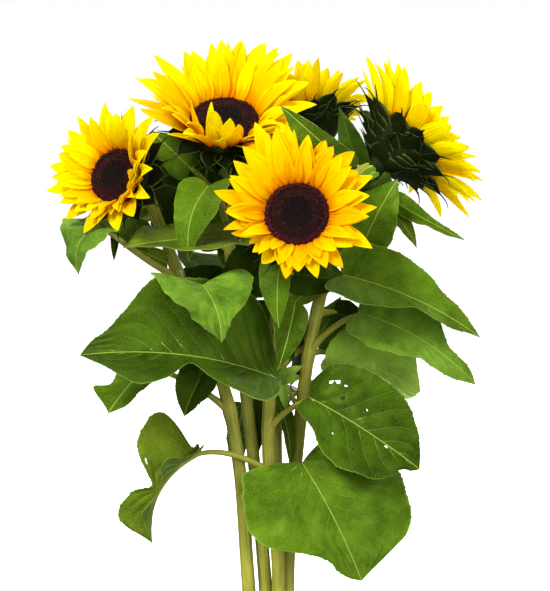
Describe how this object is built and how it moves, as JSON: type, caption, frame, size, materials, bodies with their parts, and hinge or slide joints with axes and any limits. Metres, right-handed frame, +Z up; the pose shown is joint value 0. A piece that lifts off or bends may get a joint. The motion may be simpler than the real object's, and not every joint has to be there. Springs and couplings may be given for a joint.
{
  "type": "sunflower plant",
  "caption": "Rooted clump of branching sunflower stems with broad heart-shaped leaves and yellow-rayed, dark-centred flower heads facing several ways.",
  "frame": {"origin": "on the ground, at the middle of the flat cut under the root crown", "axes": "+Z up along the stems, +X to the right and +Y away from whoever faces the plant's front"},
  "size_m": [0.3947, 0.3235, 0.5793],
  "materials": {
    "woody_crown": "matt fibrous bark",
    "stem": "satin green with fine pale hairs",
    "leaf": "satin with raised pale veins",
    "bracts": "matt, downy",
    "petals": "silky, finely ribbed",
    "disc": "matt, packed florets"
  },
  "bodies": {
    "root": {"cup_back": "bracts", "cup_front": "bracts", "cup_left": "bracts", "cup_right": "bracts", "cup_top": "bracts", "disc_back": "disc", "disc_front": "disc", "disc_left": "disc", "disc_right": "disc", "disc_top": "disc", "leaf_back_high": "leaf", "leaf_back_high_left": "leaf", "leaf_back_high_right": "leaf", "leaf_back_low_left": "leaf", "leaf_back_low_right": "leaf", "leaf_between_heads": "leaf", "leaf_broad_right": "leaf", "leaf_centre_drooping": "leaf", "leaf_centre_front": "leaf", "leaf_centre_rear": "leaf", "leaf_curled_right": "leaf", "leaf_folded_left": "leaf", "leaf_front_heart": "leaf", "leaf_great_left": "leaf", "leaf_great_right": "leaf", "leaf_inner_right": "leaf", "leaf_left_drooping": "leaf", "leaf_level_left": "leaf", "leaf_narrow_right": "leaf", "leaf_outer_left": "leaf", "leaf_pointed_right_lower": "leaf", "leaf_pointed_right_upper": "leaf", "leaf_rear_right": "leaf", "leaf_rear_right_upright": "leaf", "leaf_side_shoot": "leaf", "leaf_small_left": "leaf", "leaf_small_under_top_head": "leaf", "leaf_small_upper_right": "leaf", "leaf_spear": "leaf", "leaf_twisted_left": "leaf", "leaf_under_front_head": "leaf", "leaf_under_top_head": "leaf", "leaf_upright_middle": "leaf", "leaf_upright_rear": "leaf", "leaf_upright_right": "leaf", "rays_back": "petals", "rays_front": "petals", "rays_left": "petals", "rays_right": "petals", "rays_top": "petals", "root_crown": "woody_crown", "stem_back": "stem", "stem_front": "stem", "stem_left": "stem", "stem_right": "stem", "stem_top": "stem"}
  },
  "joints": []
}
